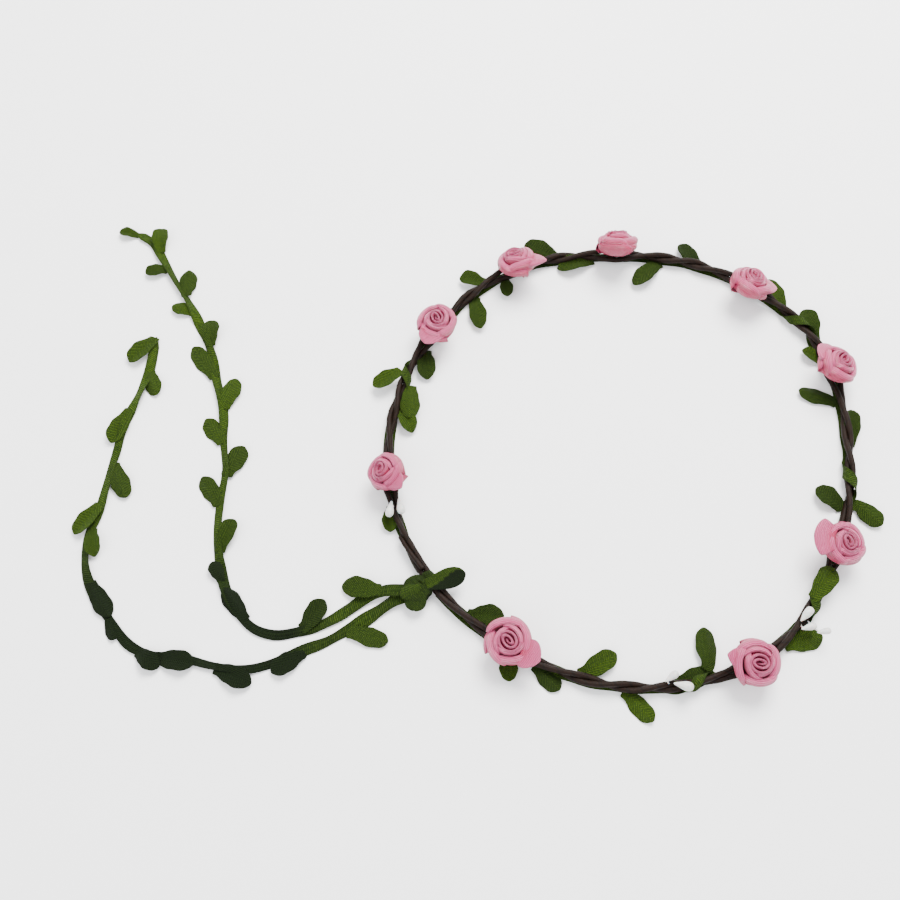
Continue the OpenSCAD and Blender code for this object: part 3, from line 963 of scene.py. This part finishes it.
def lathe(surface, profile, place, sides, ridge=0.0):
    """Turns (radius, height) points round Z, then moves each point with place. ridge winds a
    tape's stepped edge round it."""
    rows, maps, tones = [], [], []
    for r, z in profile:
        row = []
        for k in range(sides):
            t = 2 * math.pi * k / sides
            step = ridge * ((z / FOOT_WRAP_PITCH + k / sides) % 1)
            row.append(place(np.array([(r + step) * math.cos(t), (r + step) * math.sin(t), z])))
        rows.append(row)
        maps.append([(z, k / sides) for k in range(sides + 1)])
        tones.append([PLAIN_TONE] * sides)
    surface.grid(rows, maps, tones, closed=True)


# The tape that binds a foot: half its reach along the ring, its half width and half height
BINDING_DEG = 2.4
BINDING_W = 3.2
BINDING_H = 0.9
FOOT_RIDGE = 0.16


def foot(index):
    """Taped stem of a rose and the tape that binds it between the two parted strands."""
    angle = ROSE_SPOTS[index - 1][0]
    surface = Surface()
    low = PAIR_Z - PAIR_R + 0.1
    high = STRAND_TOP + 0.3
    spot = ring_point(angle, 0)
    profile = [(FOOT_R * 0.6, low), (FOOT_R * 0.95, low + 0.3)]
    profile += [(FOOT_R - 0.1, z) for z in np.arange(low + 0.6, high, 0.3)]
    profile += [(FOOT_R * 0.6, high)]
    lathe(surface, profile, lambda p: p + spot, LATHE_SIDES, FOOT_RIDGE)
    base, axis = rose_base(index), rose_axis(index)
    start, bend, end = ring_point(angle, STRAND_TOP - 0.5), base - 0.4 * axis, base + 1.5 * axis
    path = [bent(start, bend, end, f) for f in np.linspace(0, 1, 16)]
    thin = lambda i: STEM_R
    tube(surface, path, [out(angle + 90)] * len(path), wrapped(thin, thin))
    angles = np.arange(angle - BINDING_DEG, angle + BINDING_DEG + 0.01, 0.3)
    path = [ring_point(a, PAIR_Z) for a in angles]
    swell = lambda i: ease(3 * min(i, len(angles) - 1 - i) / len(angles) + 0.15)
    tube(surface, path, [UP] * len(path),
         wrapped(lambda i: BINDING_W + 0.55 * swell(i), lambda i: BINDING_H + 0.4 * swell(i)))
    surface.piece(f"foot_{index}_tape", "paper_wrap", "crown", [f"foot_{index}"])


for number in range(1, len(ROSE_SPOTS) + 1):
    foot(number)
    rose(number)

# ---------------------------------------------------------------- pips

# A pip's outline: radius as a share of its widest, height as a share of its length
PIP_PROFILE = [
    (0.1, 0), (0.26, 0.06), (0.46, 0.2), (0.68, 0.36), (0.88, 0.52), (1, 0.68), (0.97, 0.82),
    (0.8, 0.92), (0.5, 0.98), (0.15, 1),
]
PIP_Z = PAIR_Z + PAIR_R + PIP_D / 2
THREAD_R = 0.32
THREAD_SIDES = 8


def pip(surface, angle, outward, heading, size, rng):
    """A lumpy teardrop lying on the strands, and the thread that ties it between them."""
    length = PIP_L * size
    tip = ring_point(angle, PIP_Z, outward) - length / 2 * out(heading)
    along_pip, sideways = out(heading), out(heading + 90)
    lumps = [rng.uniform(0.93, 1.05) for _ in PIP_PROFILE]
    profile = [(r * lump * PIP_D / 2 * size, h * length)
               for (r, h), lump in zip(PIP_PROFILE, lumps)]
    lathe(surface, profile, lambda p: tip + p[2] * along_pip + p[0] * sideways + p[1] * UP,
          LATHE_SIDES)
    start = tip + 0.2 * length * along_pip
    end = ring_point(angle, PAIR_Z, 0.2 * outward)
    bend = mix(start, end, 0.35) - 0.9 * along_pip
    path = [bent(start, bend, end, f) for f in np.linspace(0, 1, 8)]
    thread = [tuple(THREAD_R * out(TURN * k / THREAD_SIDES)[:2]) for k in range(THREAD_SIDES)]
    tube(surface, path, [sideways] * len(path), lambda i, s: thread)


for cluster, spots in PIPS.items():
    rng = random.Random(len(spots))
    pips = Surface()
    for spot in spots:
        pip(pips, *spot, rng)
    pips.piece(cluster + "_drops", "pip_plaster", "crown", [cluster], levels=1)

# ---------------------------------------------------------------- tie knot

BEAD_R = 5.2
BEAD_TOP = 6.8
KNOT_CORE_R = 1.15
KNOT_LOW = 0.25
# The slot between the knot's two pads, where the tails turn
SLOT_LOW = 1.9
SLOT_HIGH = 5.0
PAD_RINGS = 12
# Turns of trim round the strands, and their width and reach along the ring
BAND_TURNS = 2.2
BAND_W = 3.3
BAND_REACH = 4.4
# How far a strip's edges drop below its middle
STRIP_CROWN = 0.35
# Loops over the pads: turn away from the ring's side, tone
KNOT_LOOPS = [(-38, 0.25), (0, 0.4), (36, 0.3)]
LOOP_W = 4.2
# Leaves draped from the knot's top: heading, length, width, height, drop of the tip, tone
KNOT_LEAVES = [
    (262, 9.5, 8.4, 6.6, 2.2, 0.42), (205, 8, 5.5, 7.4, 1.4, 0.62), (150, 6.5, 5, 7.2, 1.6, 0.3),
]
KNOT_LEAF_BACK = 1.2
# The knot's folded leaf: heading, length, half width and height of its foot
FOLDED_DEG = 17
FOLDED_L = 15.5
FOLDED_HALF = 4.3
FOLDED_Z = 6.6


def ribbon_strip(surface, path, normals, width, tone):
    """A flat strip of trim cloth along a path, slightly crowned across."""
    ahead = directions(path)
    run = lengths(path)
    rows, maps, tones = [], [], []
    for i, centre in enumerate(path):
        across = unit(np.cross(ahead[i], normals[i]))
        half = width(i / (len(path) - 1)) / 2
        marks = np.linspace(-1, 1, 7)
        drop = STRIP_CROWN * unit(normals[i])
        rows.append([centre + half * t * across - t * t * drop for t in marks])
        maps.append([(run[i], half * t) for t in marks])
        tones.append([tone] * len(marks))
    surface.grid(rows, maps, tones)


def knot_band(surface):
    """Trim wound round both strands."""
    ahead = unit(ring_point(KNOT_DEG + 1, 0) - ring_point(KNOT_DEG - 1, 0))
    centre = ring_point(KNOT_DEG, PAIR_Z)
    path, normals = [], []
    for f in np.linspace(0, 1, 70):
        t = 2 * math.pi * BAND_TURNS * f + 0.6
        normal = math.cos(t) * out(KNOT_DEG) + math.sin(t) * UP
        path.append(centre + (f - 0.5) * BAND_REACH * ahead + (PAIR_R + 0.35 + 0.25 * f) * normal)
        normals.append(normal)
    ribbon_strip(surface, path, normals, lambda f: BAND_W, 0.3)


def knot_pad(surface, low, high, folds, tone):
    """A folded pad of trim above or below the tails: a crowned disc with creases across it."""
    crown_up = high > SLOT_HIGH
    flat_z = low if crown_up else high
    spokes = range(0, TURN, 10)
    rows, maps, tones = [], [], []
    for r in (j / PAD_RINGS for j in range(1, PAD_RINGS + 1)):
        row = []
        for angle in spokes:
            t = math.radians(angle)
            reach = BEAD_R * r * (1 + 0.07 * math.sin(3 * t + 1) + 0.04 * math.sin(5 * t))
            crown = math.sqrt(max(0, 1 - r * r))
            crease = 0.55 * math.sin(folds * r * math.cos(t - 0.7) + 2 * r * math.sin(t)) * crown
            z = mix(low, high, crown) + crease if crown_up else mix(high, low, crown) + 0.3 * crease
            row.append(KNOT + reach * out(angle) + max(0.2, z) * UP)
        rows.append(row)
        maps.append([tuple(r * BEAD_R * out(angle)[:2]) for angle in (*spokes, TURN)])
        tones.append([tone] * len(spokes))
    rim = rows[-1]
    for f in (0.5, 0.85):
        rows.append([np.array([*mix(p, KNOT, f)[:2], flat_z]) for p in rim])
        maps.append(maps[-1])
        tones.append(tones[-1])
    surface.grid(rows, maps, tones, closed=True)


def knot_core(surface):
    """The pin between the pads, which the tails' eyes turn on."""
    profile = [(KNOT_CORE_R, z) for z in (SLOT_LOW - 0.6, SLOT_LOW + 1, SLOT_HIGH + 0.6)]
    lathe(surface, profile, lambda p: p + KNOT, 16)


def knot_loops(surface):
    """Turns of trim over the pads, down the side by the ring and back under."""
    inward = -out(KNOT_DEG)
    for swing, tone in KNOT_LOOPS:
        facing = out(KNOT_DEG + TURN / 2 + swing)
        path, normals = [], []
        for t in np.linspace(0.15 * math.pi, 1.36 * math.pi, 22):
            height = mix(0.45, BEAD_TOP + 0.35, 0.5 + 0.5 * math.cos(t))
            path.append(KNOT + (BEAD_R + 0.25) * math.sin(t) * facing + height * UP)
            normals.append(math.sin(t) * facing + math.cos(t) * UP)
        keep = [i for i, p in enumerate(path)
                if np.dot(p - KNOT, inward) > -2.5 or p[2] > SLOT_HIGH + 1]
        ribbon_strip(surface, [path[i] for i in keep], [normals[i] for i in keep],
                     lambda f: LOOP_W - 1.2 * abs(2 * f - 1), tone)


def knot_leaves(surface):
    """Leaves draped from the knot's top, broad from their feet."""
    rng = random.Random(3)
    widths = [max(0.55, w) if p < 0.9 else w for p, w in zip(LEAF_PLACES, LEAF_WIDTHS)]
    marks = np.linspace(-1, 1, LEAF_COLUMNS)
    for heading, length, width, top, drop, tone in KNOT_LEAVES:
        rows, maps, tones = [], [], []
        for s in np.arange(LEAF_ROWS) / (LEAF_ROWS - 1):
            half = width / 2 * np.interp(s, LEAF_PLACES, widths)
            middle = KNOT + (length * s - KNOT_LEAF_BACK) * out(heading)
            height = top - drop * ease((s - 0.25) / 0.75)
            rows.append([middle + half * t * out(heading + 90) + (height - 0.9 * t * t) * UP
                         for t in marks])
            maps.append([(s * length, half * t) for t in marks])
            tones.append([tone + rng.uniform(-0.02, 0.02)] * LEAF_COLUMNS)
        surface.grid(rows, maps, tones)


def folded_leaf(surface):
    """The knot's folded leaf: a bright half that stands up, and a dark half below it whose darkness
    is painted shade.
    """
    base = KNOT + 0.6 * BEAD_R * out(FOLDED_DEG) + FOLDED_Z * UP
    marks = np.linspace(-1, 1, LEAF_COLUMNS)
    rows, maps, tones = [], [], []
    for s in np.arange(LEAF_ROWS) / (LEAF_ROWS - 1):
        half = FOLDED_HALF * np.interp(s, LEAF_PLACES, LEAF_WIDTHS)
        middle = base + FOLDED_L * s * out(FOLDED_DEG) + 0.8 * math.sin(math.pi * s) * UP
        row = []
        for t in marks:
            across, rise = (0.8, 0.35) if t > 0 else (-0.9, -0.4)
            row.append(middle + half * abs(t) * (across * out(FOLDED_DEG + 90) + rise * UP))
        rows.append(row)
        maps.append([(s * FOLDED_L, half * t) for t in marks])
        # Painted shade: near-black on the tip and lower half, lit green on the rest.
        tones.append([0.75 if t > 1.6 * s - 0.75 else -0.4 for t in marks])
    surface.grid(rows, maps, tones)


def knot():
    """Solid pads and core in one piece, and the cloth wound round them in another."""
    solid = Surface()
    knot_pad(solid, SLOT_HIGH + 0.1, BEAD_TOP, 7, 0.35)
    knot_pad(solid, KNOT_LOW, SLOT_LOW - 0.1, 5, 0.3)
    knot_core(solid)
    solid.piece("knot_pads", "leaf_cloth", "crown", ["knot"])
    cloth = Surface()
    knot_band(cloth)
    knot_loops(cloth)
    knot_leaves(cloth)
    folded_leaf(cloth)
    cloth.piece("knot_wraps", "leaf_cloth", "crown", ["knot"], CLOTH_T, 1)


knot()

# ---------------------------------------------------------------- CAD nodes that stay

KEPT_NODES = {
    "wire_a": "core_wire", "wire_b": "core_wire", "tail_a_eye": "leaf_cloth",
    "tail_b_eye": "leaf_cloth",
}
for name, slot in KEPT_NODES.items():
    for material_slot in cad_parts[name].material_slots:
        material_slot.material = MATERIALS[slot]

# ---------------------------------------------------------------- floor and light

# Half the floor's side, in metres
FLOOR_HALF = 3


def area_light(name, place, size, power, colour):
    data = bpy.data.lights.new(name, "AREA")
    data.size = size
    data.energy = power
    data.color = colour
    light = link(bpy.data.objects.new(name, data))
    light.location = place
    light.rotation_euler = (Vector(place) - TARGET).to_track_quat("Z", "Y").to_euler()


def make_stage():
    """A pale floor, an even white sky and two soft lights."""
    mesh = bpy.data.meshes.new("floor")
    corners = [(-1, -1), (1, -1), (1, 1), (-1, 1)]
    mesh.from_pydata([(FLOOR_HALF * x, FLOOR_HALF * y, 0) for x, y in corners], [], [(0, 1, 2, 3)])
    floor = link(bpy.data.objects.new("floor", mesh))
    floor.data.materials.append(floor_paper())
    world = bpy.data.worlds.new("studio")
    world.use_nodes = True
    background = world.node_tree.nodes["Background"]
    background.inputs["Color"].default_value = (0.97, 0.98, 1, 1)
    background.inputs["Strength"].default_value = 1.7
    bpy.context.scene.world = world
    area_light("key", (0.15, 0.55, 0.9), 0.6, 34, (1, 0.99, 0.97))
    area_light("fill", (-0.7, -0.7, 0.9), 1.0, 10, (0.97, 0.98, 1))


make_stage()
